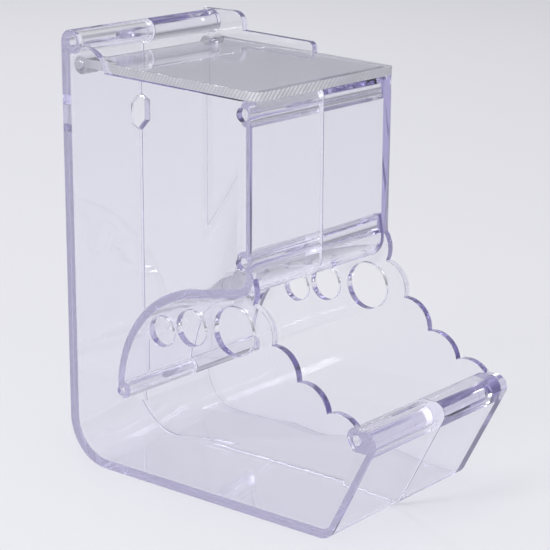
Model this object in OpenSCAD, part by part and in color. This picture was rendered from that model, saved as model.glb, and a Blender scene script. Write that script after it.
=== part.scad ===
// Clear gravity feeder for a small pet. Two moulded half shells meet at the middle
// of its width and snap together on round pins; a hinged plate closes the hopper.
// Depth is measured forward from the rear face, height up from the floor.

/* [Overall] */
// Width over both side walls
body_w = 72; // [62:1:84]
// Rear face to the front of the hopper window
hopper_d = 79.4; // [75:0.2:86]
// Rear face to the front of the tray lip
tray_d = 128; // [122:1:140]
// Height of the side walls' straight top edge at the window
side_h = 132; // [122:1:150]
// Fall of that edge from the rear to the window, in degrees
top_fall = 2.3; // [0:0.1:4]
// Thickness of the walls that run across the width
wall = 2.6; // [2:0.1:3]
// Thickness of the flat side walls
side_t = 2.6; // [2.2:0.1:3]

/* [Rear and floor] */
// Outer radius of the rear bottom corner
rear_r = 16; // [12:0.5:20]
// Outer radius of the front bottom corner
front_r = 6; // [4:0.5:9]
// Lean of the tray front, from upright
front_lean = 27; // [15:1:30]
// Radius of the round tube along the top of the back wall
barrel_r = 4; // [3.6:0.1:4.4]
// Height of that tube's centre above the side walls' top edge
barrel_rise = 8; // [7.8:0.2:10]
// Width of the hanging slot
slot_w = 7.8; // [6:0.2:10]
// Height of the hanging slot between its points
slot_h = 12.4; // [10:0.2:16]
// Height of one pointed end of the slot
slot_point = 2.8; // [2:0.2:4]
// Slot centre below the side walls' top edge at the window
slot_drop = 16.6; // [15:0.2:24]

/* [Lip and tubes] */
// Height of the top of the tray lip
lip_h = 38.5; // [34:0.5:42]
// Radius of the rounded tray lip and its tube
lip_r = 3.9; // [3.6:0.1:4.4]
// Distance from the lip's tube centre to the lip's front round
lip_reach = 4; // [3:0.5:7]
// Radius of the two rounds, one above the other, of the tube under the lid's front edge
brow_r = 2.35; // [2.2:0.05:2.8]
// Distance between the centres of those two rounds
brow_pitch = 3.2; // [2.4:0.1:3.6]
// Radius of the core of that tube, round its bore
brow_core_r = 2.5; // [2.3:0.1:2.8]
// How far the core lies back from the front of the two rounds
brow_groove = 0.5; // [0.3:0.1:0.8]
// Radius of the tube across the foot of the window
sill_r = 3.3; // [3:0.1:4]
// Height of the sill tube's centre
sill_h = 82; // [81:0.5:88]
// Radius of the tube along the hood's rear edge
foot_r = 2.9; // [2.6:0.1:3.4]
// How far that tube stands out behind the hood
foot_out = 0.3; // [0.1:0.1:1]

/* [Feeding nook] */
// Inside radius of the nook's round back
hood_r = 38; // [34:0.5:39]
// Depth of the centre of that round back
hood_u = 62; // [60:0.5:64]
// Height of the centre of that round back
hood_v = 29.5; // [26.5:0.5:30.5]
// Outside radius of the nose under the window
nose_r = 7.4; // [5:0.2:8]
// Height of the centre of the nose
nose_v = 77.5; // [75.5:0.5:80]
// Diameters of the three side holes, rear to front
hole_dia = [10, 11.8, 16];
// Directions of the holes from the round back's centre
hole_angle = [129.4, 104.5, 70.4];
// How far each hole's centre lies inside the round back
hole_inset = [6.9, 9.6, 6.3];
// Number of whole scallops on each side wall
scallops = 4; // [3:1:6]
// Radius of the sweep that the scallops follow
sweep_r = 69.5; // [50:0.5:90]
// How far below the nose's centre the sweep starts
scallop_drop = 5.8; // [4:0.2:8]
// Part of a scallop that is hidden behind the window
scallop_start = 0.32; // [0:0.02:0.5]
// Scallop radius as a part of its own width
scallop_round = 0.68; // [0.56:0.02:1]

/* [Snap pins] */
// How far each pin reaches into the other shell
pin_len = 15; // [8:0.5:20]
// Diameter of the thick pins
pin_d = 3.2; // [2.6:0.1:3.6]
// Diameter of the thin pin on the hood's rear edge
thin_pin_d = 1.9; // [1.4:0.1:2.4]
// Clearance round a pin, on the radius
pin_gap = 0.08; // [0.04:0.02:0.2]
// Widening of the bores, on the radius, and its length, where they open at the side
flare = 0.8; // [0.4:0.1:1.2]
// Length of the same at the brow, where the bore opens as a long cone
brow_flare = 7; // [1:0.5:8]
// Least rim left round such a flare
flare_rim = 0.3; // [0.2:0.05:0.5]
// Solid end left at the barrel's blind socket
barrel_end = 3; // [2:0.5:6]

/* [Lid] */
// Thickness of the lid plate
lid_t = 3; // [2.4:0.1:3.6]
// Height of the lid's underside above the side walls' top edge
lid_lift = 0.3; // [0.2:0.1:0.6]
// Gap between each tab of the lid and the ear beside it
lid_side_gap = 0.3; // [0.2:0.05:0.8]
// How far the lid's left edge reaches out over the left side wall
lid_wing = 2.7; // [2:0.1:2.9]
// Gap in front of the left ear, where the lid's wide part starts
wing_gap = 2.5; // [1.5:0.5:5]
// How far the lid's front edge passes the window
lid_over = 2.6; // [1:0.1:3.6]
// Radius of the lid's front left corner
lid_round = 5; // [3:0.5:8]
// Radius of its front right corner
lid_corner = 1; // [0.5:0.5:3]
// Depth of the hinge axis
hinge_u = 7.2; // [6.6:0.1:8]
// How far the hinge axis lies below the middle of the plate's thickness
hinge_drop = 0.9; // [0.8:0.1:1.2]
// Hinge axis to the plate's rear edge
lid_set = 4; // [3.6:0.1:6]
// Radius of the lid's round knuckles
knuckle_r = 3; // [2.7:0.1:3.2]
// Width of each knuckle
knuckle_w = 6.5; // [4:0.5:12]
// Diameter of the hinge studs
stud_d = 3; // [2:0.1:3.4]
// Length of the hinge studs
stud_len = 1.5; // [1:0.1:1.6]
// Clearance round and past a stud
stud_gap = 0.08; // [0.05:0.01:0.1]

/* [Ears] */
// Radius of the round ears that hold the hinge
ear_r = 9.8; // [8.8:0.2:10.4]
// How far the ear's centre lies in front of the hinge axis
ear_ahead = 2.5; // [1:0.1:3.5]
// How far the ear's centre lies below the hinge axis
ear_drop = 3.6; // [2.4:0.1:4.4]
// Depth of the high ear on the right shell
high_ear_d = 18; // [16:0.5:22]
// Corner radius of the high ear
high_ear_round = 4.5; // [2:0.5:6]
// Depth at which the right shell's raised edge ends
guard_d = 48.4; // [36:0.5:60]
// Height of the raised edge above the side walls' top edge
guard_h = 6.2; // [4:0.2:8]
// Corner radius of the raised edge
guard_round = 2; // [1:0.5:4]

/* [Hidden] */
$fn = 96;

left_tint = [0.80, 0.82, 0.90, 0.45];
right_tint = [0.74, 0.78, 0.88, 0.45];
lid_tint = [0.90, 0.92, 0.95, 0.6];

// Overshoot of a cut past the face that it opens
past = 1;
// Largest turn between two points of an arc, in degrees
arc_step = 5;
half_w = body_w / 2;
inner_w = half_w - side_t;
lid_half = inner_w - lid_side_gap;

function toward(angle) = [cos(angle), sin(angle)];

// Points along an arc round a centre
function arc(at, r, from, to) =
    let (steps = ceil(abs(to - from) / arc_step))
        [for (i = [0:steps]) at + r * toward(from + (to - from) * i / steps)];

// Height of the side walls' top edge at a depth
function top_at(u) = side_h + (hopper_d - u) * tan(top_fall);

// Centres on the side profile, as [depth, height]
rear_at = [rear_r, rear_r];
barrel_at = [barrel_r, top_at(barrel_r) + barrel_rise];
brow_at = [hopper_d - brow_r, side_h - brow_r];
brow_low_at = brow_at - [0, brow_pitch];
brow_core_at = [hopper_d - brow_groove - brow_core_r, brow_at.y - brow_pitch / 2];
sill_at = [hopper_d - sill_r, sill_h];
hood_at = [hood_u, hood_v];
foot_at = [hood_u - hood_r - wall - foot_out + foot_r, hood_v];
nose_at = [hopper_d - nose_r, nose_v];
lip_front_at = [tray_d - lip_r, lip_h - lip_r];
lip_at = lip_front_at - [lip_reach, 0];
hinge_at = [hinge_u, top_at(hinge_u) + (lid_lift + lid_t / 2 - hinge_drop) / cos(top_fall)];
ear_at = hinge_at + [ear_ahead, -ear_drop];

// The leaning tray front touches the lip's front round above and the corner round below
lean_out = toward(-front_lean);
lean_up = toward(90 - front_lean);
lip_touch = lip_front_at + lip_r * lean_out;
front_foot = lip_touch - lean_up * lip_touch.y / lean_up.y;
front_at = [front_foot.x - front_r * (1 - sin(front_lean)) / cos(front_lean), front_r];
lip_inside = lip_touch - wall * lean_out;
lip_foot = lip_inside - lean_up * (lip_inside.y - lip_front_at.y + lip_r) / lean_up.y;

// Round stretches of the outline, in order from the rear to the lip's inner end
rear_round = arc(rear_at, rear_r, 180, 270);
front_round = arc(front_at, front_r, 270, 360 - front_lean);
lip_round = arc(lip_front_at, lip_r, -front_lean, 90);
lip_end = arc(lip_at, lip_r, 90, 270);

// The hood's straight stretch touches the nook's round back and the nose
reach = nose_at - hood_at;
rise = atan2(reach.y, reach.x) + acos((hood_r + nose_r) / norm(reach));

// The scallops hang on a sweep from under the nose to the lip
sweep_from = [hopper_d, nose_v - scallop_drop];
sweep_to = lip_at + [0, lip_r / 2];
sweep_chord = norm(sweep_to - sweep_from);
sweep_side = [sweep_from.y - sweep_to.y, sweep_to.x - sweep_from.x] / sweep_chord;
sweep_at = (sweep_from + sweep_to) / 2 + sweep_side * sqrt(pow(sweep_r, 2) - pow(sweep_chord / 2, 2));
sweep_start = atan2(sweep_from.y - sweep_at.y, sweep_from.x - sweep_at.x);
sweep_step = 2 * asin(sweep_chord / 2 / sweep_r) / scallops;
scallop_w = 2 * sweep_r * sin(sweep_step / 2);
scallop_r = scallop_w * scallop_round;
scallop_ring = sweep_r * cos(sweep_step / 2) + sqrt(pow(scallop_r, 2) - pow(scallop_w / 2, 2));

// Each snap pin as [centre, diameter, radius of its tube, solid at the outer end of its bore,
// length of the bore's flare]
pins = [
    [barrel_at, pin_d, barrel_r, barrel_end, flare],
    [brow_core_at, pin_d, brow_core_r, 0, brow_flare],
    [sill_at, pin_d, sill_r, 0, flare],
    [lip_at, pin_d, lip_r, 0, flare],
    [foot_at, thin_pin_d, foot_r, 0, flare]
];

// Turns a side profile so that its extrusion runs from the seam to the left
module stand() {
    translate([0, tray_d / 2, 0]) rotate([90, 0, -90]) children();
}

// A side profile filled from one distance off the seam to another
module across(from, to) {
    stand() translate([0, 0, from]) linear_extrude(to - from) children();
}

// A round bar or bore along the width; its radius may change from end to end
module bar(at, from, to, r, r_end) {
    stand() translate([at.x, at.y, from]) cylinder(h = to - from, r1 = r, r2 = r_end);
}

module disc(at, r) {
    translate(at) circle(r);
}

// Rounded lip along the top of the tray front
module lip_section() {
    polygon(concat(lip_round, lip_end, [lip_foot]));
}

// Tube under the lid's front edge: two rounds, one above the other, on the core of its bore
module brow_section() {
    disc(brow_at, brow_r);
    disc(brow_low_at, brow_r);
    disc(brow_core_at, brow_core_r);
}

// High ear and raised edge that only the right side wall has
module raised_edge() {
    translate([0, side_h]) shoulder(high_ear_d, barrel_at.y + barrel_r - side_h, high_ear_round);
    translate([0, top_at(0) - past])
        rotate(-top_fall) shoulder(guard_d, guard_h + past, guard_round);
}

// Back wall, floor and leaning tray front in one bent wall that ends in the lip
module trough_section() {
    polygon(concat(
        [[0, barrel_at.y]], rear_round, front_round, lip_round, lip_end, [lip_foot],
        arc(front_at, front_r - wall, 360 - front_lean, 270),
        arc(rear_at, rear_r - wall, 270, 180), [[wall, barrel_at.y]]
    ));
}

// Hood over the nook, nose and window in one bent wall; its first side faces the feed
module hood_section() {
    polygon(concat(
        arc(hood_at, hood_r + wall, 180, rise), arc(nose_at, nose_r - wall, 180 + rise, 360),
        [[hopper_d - wall, brow_at.y], [hopper_d, brow_at.y]],
        arc(nose_at, nose_r, 360, 180 + rise), arc(hood_at, hood_r, rise, 180)
    ));
}

// Section of everything that runs across the width
module wall_section() {
    trough_section();
    hood_section();
    disc(barrel_at, barrel_r);
    brow_section();
    disc(sill_at, sill_r);
    disc(foot_at, foot_r);
}

// Block from the rear face to a depth, up to a height, its upper front corner rounded
module shoulder(depth, height, r) {
    square([depth - r, height]);
    square([depth, height - r]);
    disc([depth - r, height - r], r);
}

// Side of the feeding nook and tray, with its scalloped edge
module nook_side() {
    difference() {
        polygon(concat(
            [[hood_u, 0]], front_round, lip_round, [sweep_to, sweep_from, [hood_u, sweep_from.y]]
        ));
        disc(sweep_at, sweep_r);
    }
    for (i = [0:scallops])
        disc(sweep_at + scallop_ring * toward(sweep_start + sweep_step * (i - scallop_start)), scallop_r);
    lip_section();
}

// Outline of the flat side wall, without its holes
module side_outline() {
    polygon(concat(rear_round, [[hopper_d, 0], [hopper_d, side_h], [0, top_at(0)]]));
    nook_side();
    translate([0, rear_r]) square([ear_at.x, ear_at.y + ear_r - rear_r]);
    intersection() {
        disc(ear_at, ear_r);
        square(ear_at + [ear_r, ear_r]);
    }
    disc(barrel_at, barrel_r);
}

module side_holes() {
    for (i = [0:len(hole_dia) - 1])
        disc(hood_at + (hood_r - hole_inset[i]) * toward(hole_angle[i]), hole_dia[i] / 2);
}

// Hanging slot through the back wall, pointed at both ends, half of it in each shell
module hanging_slot() {
    side = slot_h / 2 - slot_point;
    translate([0, tray_d / 2 + past, side_h - slot_drop])
        rotate([90, 0, 0])
            linear_extrude(wall + 2 * past)
                polygon([
                    [0, slot_h / 2], [slot_w / 2, side], [slot_w / 2, -side],
                    [0, -slot_h / 2], [-slot_w / 2, -side], [-slot_w / 2, side]
                ]);
}

// Half shell as moulded, on the left of the seam, with a blind socket for the lid's stud;
// anything given to it is part of its moulding
module half_shell() {
    socket_r = stud_d / 2 + stud_gap;
    difference() {
        union() {
            across(0, half_w) wall_section();
            across(inner_w, half_w) difference() {
                side_outline();
                side_holes();
            }
            children();
        }
        hanging_slot();
        bar(hinge_at, inner_w - past, inner_w + stud_len + stud_gap, socket_r, socket_r);
    }
}

// Bore for a snap pin, flared where it opens at the side
module pin_bore(at, d, tube_r, end, length) {
    r = d / 2 + pin_gap;
    wider = min(flare, tube_r - r - flare_rim);
    bar(at, -past, half_w - end + (end == 0 ? past : 0), r, r);
    if (end == 0)
        bar(at, half_w - length, half_w + past, r, r + wider * (1 + past / length));
}

// Snap pin standing out of the right shell, with a tapered tip
module snap_pin(at, d) {
    bar(at, -past, pin_len - d / 2, d / 2, d / 2);
    bar(at, pin_len - d / 2, pin_len, d / 2, d / 3);
}

module left_shell() {
    color(left_tint)
        difference() {
            half_shell();
            for (p = pins) pin_bore(p[0], p[1], p[2], p[3], p[4]);
        }
}

module right_shell() {
    color(right_tint) {
        mirror([1, 0, 0]) half_shell() across(inner_w, half_w) raised_edge();
        for (p = pins) snap_pin(p[0], p[1]);
    }
}

// Plan of the lid plate and its two tabs, as [across, distance in front of the hinge axis];
// the plate is wide on the left from in front of the ear, and lies between the walls elsewhere
module lid_plan() {
    front = (hopper_d + lid_over - hinge_u) / cos(top_fall);
    left = -lid_half - lid_wing;
    wing_from = ear_at.x + ear_r + wing_gap - hinge_u;
    polygon(concat(
        [[lid_half, lid_set], [-lid_half, lid_set], [-lid_half, wing_from], [left, wing_from]],
        arc([left + lid_round, front - lid_round], lid_round, 180, 90),
        arc([lid_half - lid_corner, front - lid_corner], lid_corner, 90, 0)
    ));
    for (side = [0, 1]) mirror([side, 0])
        translate([lid_half - knuckle_w, 0]) square([knuckle_w, lid_set + past]);
}

// Round bar on the hinge axis, from one distance off the seam to another
module hinge_bar(from, to, r) {
    translate([from, 0, 0]) rotate([0, 90, 0]) cylinder(h = to - from, r = r);
}

module lid() {
    color(lid_tint)
        translate([0, tray_d / 2 - hinge_at.x, hinge_at.y]) rotate([top_fall, 0, 0]) {
            translate([0, 0, hinge_drop - lid_t / 2])
                mirror([0, 1, 0]) linear_extrude(lid_t) lid_plan();
            for (side = [0, 1]) mirror([side, 0, 0]) {
                hinge_bar(lid_half - knuckle_w, lid_half, knuckle_r);
                hinge_bar(lid_half - past, inner_w + stud_len, stud_d / 2);
            }
        }
}

left_shell();
right_shell();
lid();
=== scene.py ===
# %% [markdown]
# # A clear gravity feeder for a small pet
#
# The real feeder is injection moulded from clear styrene in two halves, which
# snap together on round pins, and closed by a sawn plate of clear acrylic that
# turns on two studs. The solids come from the part's own frame. This lesson
# gives them what a mould and a saw give the real ones: slightly rounded edges,
# a seam that shows, frosted saw cuts, and clear plastic that light passes
# through.
#
# Lengths are metres in Blender, so the values below are written in millimetres
# and multiplied by MM.

# %% Frame and measures
import math

import bpy
from mathutils import Matrix, Vector


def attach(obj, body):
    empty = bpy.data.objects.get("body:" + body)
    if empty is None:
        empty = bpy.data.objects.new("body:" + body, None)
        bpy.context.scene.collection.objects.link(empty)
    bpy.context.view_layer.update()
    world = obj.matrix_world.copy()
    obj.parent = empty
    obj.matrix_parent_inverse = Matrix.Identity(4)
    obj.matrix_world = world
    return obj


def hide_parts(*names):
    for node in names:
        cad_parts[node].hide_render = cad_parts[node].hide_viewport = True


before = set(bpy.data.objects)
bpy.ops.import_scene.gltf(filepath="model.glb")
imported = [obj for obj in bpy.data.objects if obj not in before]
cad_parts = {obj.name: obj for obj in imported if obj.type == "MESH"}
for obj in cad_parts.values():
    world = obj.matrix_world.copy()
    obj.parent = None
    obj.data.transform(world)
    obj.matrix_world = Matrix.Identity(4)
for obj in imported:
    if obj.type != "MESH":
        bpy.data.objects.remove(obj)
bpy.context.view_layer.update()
scene = bpy.context.scene
MM = 0.001


def in_mm(point):
    return [round(v / MM, 2) for v in point]


# %% [markdown]
# ## Helpers for meshes
#
# A CAD solid comes as loose triangles, so a copy is merged before anything is
# done to it. Flat faces are joined into single polygons, which keeps a bevel
# from following the triangles' diagonals. An operator acts on all that is
# selected, so one helper leaves a single object selected.

# %% Helpers for meshes
MERGE_WITHIN = 0.002 * MM
FLAT_WITHIN = math.radians(0.5)


def select_only(obj):
    bpy.ops.object.select_all(action="DESELECT")
    obj.select_set(True)
    bpy.context.view_layer.objects.active = obj


def merged_copy(node_name, name):
    """A new object with a CAD node's mesh, merged, with its flat faces joined."""
    obj = bpy.data.objects.new(name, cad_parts[node_name].data.copy())
    obj.data.materials.clear()
    scene.collection.objects.link(obj)
    select_only(obj)
    bpy.ops.object.mode_set(mode="EDIT")
    bpy.ops.mesh.select_all(action="SELECT")
    bpy.ops.mesh.remove_doubles(threshold=MERGE_WITHIN)
    bpy.ops.mesh.dissolve_limited(angle_limit=FLAT_WITHIN)
    bpy.ops.mesh.select_all(action="DESELECT")
    bpy.ops.object.mode_set(mode="OBJECT")
    print(name, "starts with", len(obj.data.polygons), "faces")
    return obj


def select_vertices(obj, test):
    """Select the vertices whose place passes the test, and count them."""
    select_only(obj)
    bpy.ops.object.mode_set(mode="EDIT")
    bpy.ops.mesh.select_all(action="DESELECT")
    bpy.ops.object.mode_set(mode="OBJECT")
    chosen = [v for v in obj.data.vertices if test(v.co)]
    for v in chosen:
        v.select = True
    return len(chosen)


# %% [markdown]
# ## Rounded edges
#
# No moulded edge is truly sharp: the mould's own corners are a tenth or two of
# a millimetre round. In clear plastic this matters more than in any other
# material, because each rounded edge gathers light and shows as a bright or
# dark line. The edges could be bevelled by hand in edit mode, but a Bevel
# modifier can be weighted edge by edge. That leaves the few places sharp where
# two edges run closer together than the round is wide, and would fold over.

# %% Rounded edges
EDGE_ROUND = 0.2 * MM
SHARP_FROM = math.radians(28)       # flatter bends belong to a curve and stay smooth


def round_edges(obj, tight_spots):
    """Bevel the sharp edges, apart from those that end in a tight spot: centre, reach in mm."""
    mesh = obj.data
    edge_normals = {}
    for face in mesh.polygons:
        for key in face.edge_keys:
            edge_normals.setdefault(key, []).append(face.normal.copy())
    weight = mesh.attributes.new("bevel_weight_edge", "FLOAT", "EDGE")
    rounded = 0
    for edge in mesh.edges:
        normals = edge_normals[edge.key]
        ends = [mesh.vertices[i].co for i in edge.vertices]
        sharp = len(normals) == 2 and normals[0].angle(normals[1], 0) > SHARP_FROM
        tight = any((end - centre).length < reach * MM
                    for end in ends for centre, reach in tight_spots)
        if sharp and not tight:
            weight.data[edge.index].value = 1
            rounded += 1
    bevel = obj.modifiers.new("mould rounding", "BEVEL")
    bevel.limit_method = "WEIGHT"
    bevel.width = EDGE_ROUND
    bevel.segments = 2
    bevel.use_clamp_overlap = False
    bevel.harden_normals = True
    select_only(obj)
    bpy.ops.object.shade_smooth_by_angle(angle=SHARP_FROM)
    bpy.ops.object.modifier_apply(modifier="mould rounding")
    print(obj.name, "has", rounded, "rounded edges and", len(mesh.polygons), "faces")


# %% [markdown]
# ## Tight spots
#
# Where a tube runs into a side wall, or its bore opens beside the wall's edge,
# two sharp edges come within a few tenths of a millimetre of each other. A
# mould maker would leave such a corner as the cutter left it. Each spot is
# written as a place on the feeder, and how far around it the edges stay sharp.

# %% Tight spots
REAR_Y = 64 * MM            # the rear face; -Y is the front, and the seam is x = 0
SIDE_X = 36                 # outer face of a side wall, in mm from the seam
SIDE_THICK = 2.6
INNER_X = SIDE_X - SIDE_THICK


def at(x, depth, height):
    """A point from millimetres across, forward of the rear face and up from the floor."""
    return Vector((x * MM, REAR_Y - depth * MM, height * MM))


TIGHT_SPOTS = {
    "left_shell": [
        (at(-INNER_X, 79.4, 131.5), 3),     # wall and window meet under the lid's front edge
        (at(-SIDE_X, 76.5, 130.4), 0.5),    # conical mouth of the bore there
        (at(-SIDE_X, 73.6, 82.9), 0.7),     # mouth of the tube across the window's foot,
        (at(-SIDE_X, 78.5, 83.1), 0.7),     # behind and in front
        (at(-SIDE_X, 124.6, 38.4), 0.8),    # top of the lip, where its front round starts
    ],
    "right_shell": [
        (at(INNER_X, 79.4, 131.5), 3),      # wall and window meet under the lid's front edge
        (at(INNER_X, 0, 145), 2.2),         # rear tube and high ear, behind
        (at(INNER_X, 4, 147), 1.6),         # rear tube and high ear, on top
        (at(INNER_X, 5.5, 136.2), 0.6),     # rim of the lid stud's socket
        (at(0, 77.4, 83.2), 0.7),           # root of the snap pin at the window's foot
    ],
}
print("tight spots:", {name: len(spots) for name, spots in TIGHT_SPOTS.items()})

# %% [markdown]
# ## The two shells
#
# The halves meet at x = 0. On the real feeder a hair of air stays between them,
# and it shows as a bright line or band wherever the seam runs through a wall.
# Two solids that touch exactly would show nothing there, so each seam face is
# moved back by a few hundredths of a millimetre.

# %% The two shells
SEAM_BACK = 0.04 * MM       # how far each half's seam face moves back
ON_SEAM = 0.001 * MM        # vertices nearer than this to the seam lie on it

shells = {}
for node_name, side in (("left_shell", -1), ("right_shell", 1)):
    shell = merged_copy(node_name, node_name + "_clear")
    moved = select_vertices(shell, lambda co: abs(co.x) < ON_SEAM)
    bpy.ops.object.mode_set(mode="EDIT")
    bpy.ops.transform.translate(value=(side * SEAM_BACK, 0, 0))
    bpy.ops.object.mode_set(mode="OBJECT")
    print(node_name, "seam vertices moved:", moved)
    round_edges(shell, TIGHT_SPOTS[node_name])
    shells[node_name] = shell

# %% [markdown]
# ## The lid
#
# The lid is a sawn plate of clear acrylic with two tabs that end in round
# knuckles. It gets the same rounding as the shells, and has no tight spots. Its
# faces are polished, its edges are as the saw cut them and its knuckles are
# sanded, so it takes three finishes further down.

# %% The lid
lid = merged_copy("lid", "lid_plate")
round_edges(lid, [])

# %% [markdown]
# ## Helpers for materials
#
# Colours are written as sRGB hex values, as a paint chart has them, and turned
# to the linear values that Blender works in. One function adds a node with its
# settings and its links.

# %% Helpers for materials
def colour(code):
    """Linear RGBA from an sRGB hex value such as F2F0F7."""
    parts = [int(code[i:i + 2], 16) / 255 for i in (0, 2, 4)]
    return [p / 12.92 if p <= 0.04045 else ((p + 0.055) / 1.055) ** 2.4 for p in parts] + [1]


def add_node(tree, kind, settings=None, links=None):
    """A node of the kind, with values for its sockets or properties, and its inputs linked."""
    node = tree.nodes.new("ShaderNode" + kind)
    for key, value in (settings or {}).items():
        if isinstance(key, int) or key in node.inputs:
            node.inputs[key].default_value = value
        else:
            setattr(node, key, value)
    for key, source in (links or {}).items():
        tree.links.new(source, node.inputs[key])
    return node


def new_material(name):
    material = bpy.data.materials.new(name)
    material.use_nodes = True
    material.node_tree.nodes.clear()
    return material


# %% [markdown]
# ## Clear moulded styrene
#
# General-purpose polystyrene is the usual plastic for such feeders: glass
# clear, hard and glossy, with an index of refraction of 1.59 and a faint cool
# cast. A tint on the surface would colour thick and thin walls alike, so the
# cast is an absorption inside the plastic, and shows where light runs a long
# way in it. The melt leaves very shallow waves, a few millimetres long, on the
# faces.
#
# Shadow rays pass straight through, because the light that real clear plastic
# bends round its shadow would take a renderer hours. Rays that set out from a
# matt surface pass straight through as well, so that the floor under the
# feeder and the matt faces inside it get the light of the surroundings.

# %% Clear moulded styrene
def clear_plastic(name, tint, ior, roughness, cast, cast_density, wave_mm, wave_height_mm):
    """Clear plastic with shallow waves on its surface and a cast inside it, per metre."""
    material = new_material(name)
    tree = material.node_tree
    place = add_node(tree, "TexCoord")
    waves = add_node(tree, "TexNoise",
                     {"Scale": 1 / (wave_mm * MM), "Detail": 1.5, "Roughness": 0.4},
                     {"Vector": place.outputs["Object"]})
    bump = add_node(tree, "Bump", {"Strength": 1.0, "Distance": wave_height_mm * MM},
                    {"Height": waves.outputs["Fac"]})
    plastic = add_node(tree, "BsdfPrincipled",
                       {"Base Color": colour(tint), "Roughness": roughness, "IOR": ior,
                        "Transmission Weight": 1.0},
                       {"Normal": bump.outputs["Normal"]})
    straight = add_node(tree, "BsdfTransparent", {"Color": colour("FFFFFF")})
    rays = add_node(tree, "LightPath")
    for_lamps = add_node(tree, "MixShader", {}, {0: rays.outputs["Is Shadow Ray"],
                                                 1: plastic.outputs[0],
                                                 2: straight.outputs[0]})
    for_matt = add_node(tree, "MixShader", {}, {0: rays.outputs["Is Diffuse Ray"],
                                                1: for_lamps.outputs[0],
                                                2: straight.outputs[0]})
    inside = add_node(tree, "VolumeAbsorption",
                      {"Color": colour(cast), "Density": cast_density})
    add_node(tree, "OutputMaterial", {}, {"Surface": for_matt.outputs[0],
                                          "Volume": inside.outputs[0]})
    print(name, "has waves of", wave_mm, "mm")
    return material


styrene = clear_plastic("clear_moulded_styrene", "FCFCFE", ior=1.59, roughness=0.01,
                        cast="C3BBE1", cast_density=19, wave_mm=7, wave_height_mm=0.004)

# %% [markdown]
# ## Clear acrylic plate
#
# The lid's plate is cast acrylic, a little smoky, with an index of 1.49. It is
# clear plastic as well, so the same function makes it. A cast plate is flatter
# than a moulded wall, so its waves are twice as long.

# %% Clear acrylic plate
acrylic = clear_plastic("clear_cast_acrylic", "E9E9EE", ior=1.49, roughness=0.02,
                        cast="BEBFCB", cast_density=30, wave_mm=14, wave_height_mm=0.004)

# %% [markdown]
# ## Sawn acrylic edge
#
# The plate's edges keep the marks of the saw. Light scatters in them, so they
# look frosted, light grey, with slanting strokes about two millimetres apart.
# The strokes are too fine and too many to model, so they are drawn as a wave
# pattern, in height and in tone. The tone follows the height, so the low parts
# of the strokes are painted darker, as painted shade in the grooves. They slant
# by 45 degrees on the front edge, where they are deepest and lightest at the
# left, and fade to the right and to the rear, shallower and darker there. The
# grit between them is finer than a render shows, and is drawn 0.4 mm wide.

# %% Sawn acrylic edge
STROKE_PITCH = 2.1 * MM             # along the front edge
BANDS_APART = math.pi / 10          # of Blender's wave bands, at a scale of 1
ACROSS_STROKES = (1, -1.5, -1.0)    # a step to the rear counts for more than one across
ALONG_STROKES = (0.3, -0.3, 0.5)
FADE_ACROSS = (-18 * MM, 12 * MM)   # x at which the fade to the right starts and ends
FADE_REAR = (-17 * MM, -8 * MM)     # y at which the fade to the rear starts and ends
WORN_PATCH = 7 * MM                 # where the saw's set bit more or less
GRIT = 0.4 * MM
CUT_DEPTH = 0.1 * MM


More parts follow.
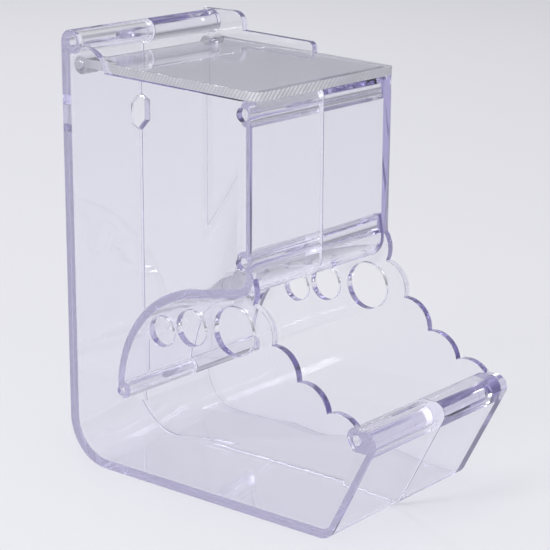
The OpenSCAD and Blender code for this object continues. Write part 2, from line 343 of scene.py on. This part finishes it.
def sawn_edge():
    material = new_material("sawn_acrylic_edge")
    tree = material.node_tree
    place = add_node(tree, "TexCoord")
    across = add_node(tree, "VectorMath", {"operation": "DOT_PRODUCT", 1: ACROSS_STROKES},
                      {0: place.outputs["Object"]})
    along = add_node(tree, "VectorMath", {"operation": "DOT_PRODUCT", 1: ALONG_STROKES},
                     {0: place.outputs["Object"]})
    slant = add_node(tree, "CombineXYZ", {}, {"X": across.outputs["Value"],
                                              "Y": along.outputs["Value"]})
    strokes = add_node(tree, "TexWave", {"Scale": BANDS_APART / STROKE_PITCH,
                                         "Distortion": 3.0, "Detail": 2.0,
                                         "Detail Scale": 0.6},
                       {"Vector": slant.outputs[0]})
    split = add_node(tree, "SeparateXYZ", {}, {"Vector": place.outputs["Object"]})
    # the strokes' depth, and with it how light their tone is drawn, fades to the right
    fade_to_right = add_node(tree, "MapRange", {"From Min": FADE_ACROSS[0], "From Max": FADE_ACROSS[1],
                                       "To Min": 1.1, "To Max": 0.3},
                    {"Value": split.outputs["X"]})
    rest = add_node(tree, "MapRange", {"From Min": FADE_REAR[0], "From Max": FADE_REAR[1],
                                       "To Min": 1.0, "To Max": 0.4},
                    {"Value": split.outputs["Y"]})
    patches = add_node(tree, "TexNoise", {"Scale": 1 / WORN_PATCH, "Detail": 1.0},
                       {"Vector": place.outputs["Object"]})
    worn = add_node(tree, "Math", {"operation": "MULTIPLY"},
                    {0: rest.outputs[0], 1: patches.outputs["Fac"]})
    depth = add_node(tree, "Math", {"operation": "MULTIPLY"},
                     {0: fade_to_right.outputs[0], 1: worn.outputs[0]})
    cut = add_node(tree, "Math", {"operation": "MULTIPLY"},
                   {0: strokes.outputs["Fac"], 1: depth.outputs[0]})
    grit = add_node(tree, "TexNoise", {"Scale": 1 / GRIT, "Detail": 2.0},
                    {"Vector": slant.outputs[0]})
    height = add_node(tree, "Math", {"operation": "MULTIPLY_ADD", 1: 0.45},
                      {0: grit.outputs["Fac"], 2: cut.outputs[0]})
    bump = add_node(tree, "Bump", {"Strength": 1.0, "Distance": CUT_DEPTH},
                    {"Height": height.outputs[0]})
    # tone painted from the height: darker on the strokes' low parts, as painted shade in the
    # grooves
    tone = add_node(tree, "Mix",
                    {"data_type": "RGBA", 6: colour("9C9CA6"), 7: colour("F2F2F5")},
                    {0: height.outputs[0]})
    frost = add_node(tree, "BsdfPrincipled",
                     {"Roughness": 0.5, "IOR": 1.49, "Transmission Weight": 0.2},
                     {"Base Color": tone.outputs[2], "Normal": bump.outputs["Normal"]})
    add_node(tree, "OutputMaterial", {}, {"Surface": frost.outputs[0]})
    print("sawn edge, strokes", round(STROKE_PITCH / MM, 2), "mm apart")
    return material


frosted = sawn_edge()

# %% [markdown]
# ## Sanded acrylic knuckles
#
# The knuckles were sanded round by hand. The paper's scratches run every way
# and scatter light evenly, so the knuckles are translucent grey, without
# strokes. Fine noise gives both the height and the tone. Real scratches are a
# tenth of a millimetre apart, too fine to show, so the grain is drawn 0.5 mm
# wide. The next finish is built the same way, so a function makes both.

# %% Sanded acrylic knuckles
def matt_plastic(name, grain_mm, detail, height_mm, dark, pale, roughness, ior, clearness):
    """Plastic with a fine even grain, in height and in tone, that lets some light through."""
    material = new_material(name)
    tree = material.node_tree
    place = add_node(tree, "TexCoord")
    grain = add_node(tree, "TexNoise", {"Scale": 1 / (grain_mm * MM), "Detail": detail},
                     {"Vector": place.outputs["Object"]})
    bump = add_node(tree, "Bump", {"Strength": 1.0, "Distance": height_mm * MM},
                    {"Height": grain.outputs["Fac"]})
    tone = add_node(tree, "Mix", {"data_type": "RGBA", 6: colour(dark), 7: colour(pale)},
                    {0: grain.outputs["Fac"]})
    face = add_node(tree, "BsdfPrincipled",
                    {"Roughness": roughness, "IOR": ior, "Transmission Weight": clearness},
                    {"Base Color": tone.outputs[2], "Normal": bump.outputs["Normal"]})
    add_node(tree, "OutputMaterial", {}, {"Surface": face.outputs[0]})
    print(name, "has a grain of", grain_mm, "mm")
    return material


knuckle_frost = matt_plastic("sanded_acrylic_knuckle", grain_mm=0.5, detail=3.0,
                             height_mm=0.05, dark="B4B4BC", pale="DCDCE2",
                             roughness=0.4, ior=1.49, clearness=0.4)

# %% [markdown]
# ## Matt parting faces
#
# Where the halves meet, the mould left their faces slightly matt, with a grain
# that is drawn 0.6 mm wide for the same reason. Seen through the clear wall in
# front of them, these faces are what makes the seam a pale band.

# %% Matt parting faces
parting = matt_plastic("matt_parting_face", grain_mm=0.6, detail=2.0,
                       height_mm=0.02, dark="E8E7F2", pale="FCFCFF",
                       roughness=0.35, ior=1.59, clearness=0.35)

# %% [markdown]
# ## Finishes on the shells
#
# The shells are clear all over, apart from the faces at the seam. Those are
# found by their place and their direction. Each shell then rides on its body,
# and stands for the CAD node that it was copied from.

# %% Finishes on the shells
STRAIGHT_ON = 0.99          # share of a face's direction that runs along X

for node_name, shell in shells.items():
    shell.data.materials.append(styrene)
    shell.data.materials.append(parting)
    matt_faces = 0
    for face in shell.data.polygons:
        if abs(face.center.x) < 2 * SEAM_BACK and abs(face.normal.x) > STRAIGHT_ON:
            face.material_index = 1
            matt_faces += 1
    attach(shell, "shell")
    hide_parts(node_name)
    print(node_name, "has", matt_faces, "matt faces at the seam")

# %% [markdown]
# ## Finishes on the lid
#
# What lies within a knuckle's reach of the hinge axis is sanded. Of the rest,
# each face that looks along the plate's own up or down direction is polished,
# and each other face is a sawn edge. The plate falls toward the window, so its
# up direction leans by that much.

# %% Finishes on the lid
LID_FALL = math.radians(2.3)
LID_UP = Vector((0, math.sin(LID_FALL), math.cos(LID_FALL)))
HINGE_AXIS = at(0, 7.2, 135.8)
KNUCKLE_REACH = 3.3 * MM            # the knuckle's radius and a little more
SAWN, SANDED = 1, 2                 # slots after the polished one

for finish in (acrylic, frosted, knuckle_frost):
    lid.data.materials.append(finish)
faces_of = [0, 0, 0]
for face in lid.data.polygons:
    if (face.center - HINGE_AXIS).yz.length < KNUCKLE_REACH:
        face.material_index = SANDED
    elif abs(face.normal.dot(LID_UP)) < 0.5:
        face.material_index = SAWN
    faces_of[face.material_index] += 1
print("lid faces: polished, sawn, sanded", faces_of)
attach(lid, "lid")
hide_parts("lid")

# %% [markdown]
# ## Floor
#
# A plain pale floor suits a clear object. It is wide enough to reach the
# horizon in low views, and nearly matt, so that no lamp shines in it as a white
# spot. A thin gap under the feeder lets light find air between the clear base
# and the floor, as it does on a table.

# %% Floor
FLOOR_SIZE = 16.0                   # metres
FLOOR_GAP = 0.05 * MM

bpy.ops.object.select_all(action="DESELECT")
bpy.ops.mesh.primitive_plane_add(size=FLOOR_SIZE, location=(0, 0, -FLOOR_GAP))
floor = bpy.context.object
floor.name = "floor"
ground = new_material("pale_matt_floor")
matt = add_node(ground.node_tree, "BsdfPrincipled",
                {"Base Color": colour("CDCDD1"), "Roughness": 0.9, "Specular IOR Level": 0.1})
add_node(ground.node_tree, "OutputMaterial", {}, {"Surface": matt.outputs[0]})
floor.data.materials.append(ground)
print("floor", FLOOR_SIZE, "m wide")

# %% [markdown]
# ## World
#
# An evenly white world would make the edges of a clear object vanish. This one
# is a plain grey gradient, darker at the horizon and nearly white overhead, and
# the edges and tubes pick up both.

# %% World
WORLD_STRENGTH = 0.88

world = bpy.data.worlds.new("soft grey surroundings")
scene.world = world
world.use_nodes = True
tree = world.node_tree
tree.nodes.clear()
place = add_node(tree, "TexCoord")
split = add_node(tree, "SeparateXYZ", {}, {"Vector": place.outputs["Generated"]})
rise = add_node(tree, "MapRange", {"From Min": 0.0, "From Max": 0.8},
                {"Value": split.outputs["Z"]})
sky = add_node(tree, "Mix", {"data_type": "RGBA", 6: colour("9A9AA4"), 7: colour("F4F4F6")},
               {0: rise.outputs[0]})
glow = add_node(tree, "Background", {"Strength": WORLD_STRENGTH}, {"Color": sky.outputs[2]})
add_node(tree, "OutputWorld", {}, {"Surface": glow.outputs[0]})
print("world strength", WORLD_STRENGTH)

# %% [markdown]
# ## Lamps
#
# Four square softboxes, as on a product table, give long soft highlights on the
# tubes: one overhead, one at the left, one behind for the far edges, and a weak
# fill in front. They stand high enough that the floor under them stays pale
# without turning white.

# %% Lamps
TARGET = Vector((0, 0, 70 * MM))
LAMPS = (
    # name, place in mm, side in mm, watts
    ("overhead softbox", (-300, 200, 2200), 1200, 11),
    ("left softbox", (-1120, 170, 1020), 450, 7.5),
    ("rear softbox", (770, 1110, 1220), 350, 5.5),
    ("front fill", (-430, -1120, 1020), 700, 5.5),
)

for name, place_mm, side_mm, watts in LAMPS:
    light = bpy.data.lights.new(name, "AREA")
    light.shape, light.size, light.energy = "SQUARE", side_mm * MM, watts
    lamp = bpy.data.objects.new(name, light)
    lamp.location = Vector(place_mm) * MM
    lamp.rotation_euler = (TARGET - lamp.location).to_track_quat("-Z", "Y").to_euler()
    scene.collection.objects.link(lamp)
    print(name, "at", place_mm, "mm,", watts, "W")

# %% [markdown]
# ## Camera
#
# The viewing angle, distance and lens were solved from the edges that the photo
# shows, so that the solids fall on it.

# %% Camera
AZIMUTH, ELEVATION, ROLL = (math.radians(a) for a in (-50.823, 15.404, 0.224))
AIM = Vector((-2.85, 1.72, 68.92)) * MM
DISTANCE = 610.5 * MM

lens = bpy.data.cameras.new("camera")
lens.sensor_width = 36
lens.lens = 122.8
lens.clip_start, lens.clip_end = 0.01, 20
camera = bpy.data.objects.new("camera", lens)
turn = (Matrix.Rotation(AZIMUTH, 4, "Z") @ Matrix.Rotation(math.pi / 2 - ELEVATION, 4, "X")
        @ Matrix.Rotation(ROLL, 4, "Z"))
back = (turn @ Vector((0, 0, 1, 0))).to_3d()
camera.matrix_world = Matrix.Translation(AIM + back * DISTANCE) @ turn
scene.collection.objects.link(camera)
scene.camera = camera
print("camera at", in_mm(AIM + back * DISTANCE), "mm")

# %% [markdown]
# ## Render settings
#
# Light crosses many clear walls on its way, and is turned back inside them many
# frame.

# %% Render settings
BOUNCES = 40

scene.view_settings.view_transform = "Standard"
scene.cycles.max_bounces = BOUNCES
scene.cycles.glossy_bounces = BOUNCES
scene.cycles.transmission_bounces = BOUNCES
scene.cycles.transparent_max_bounces = BOUNCES
scene.cycles.caustics_refractive = False
scene.cycles.caustics_reflective = False
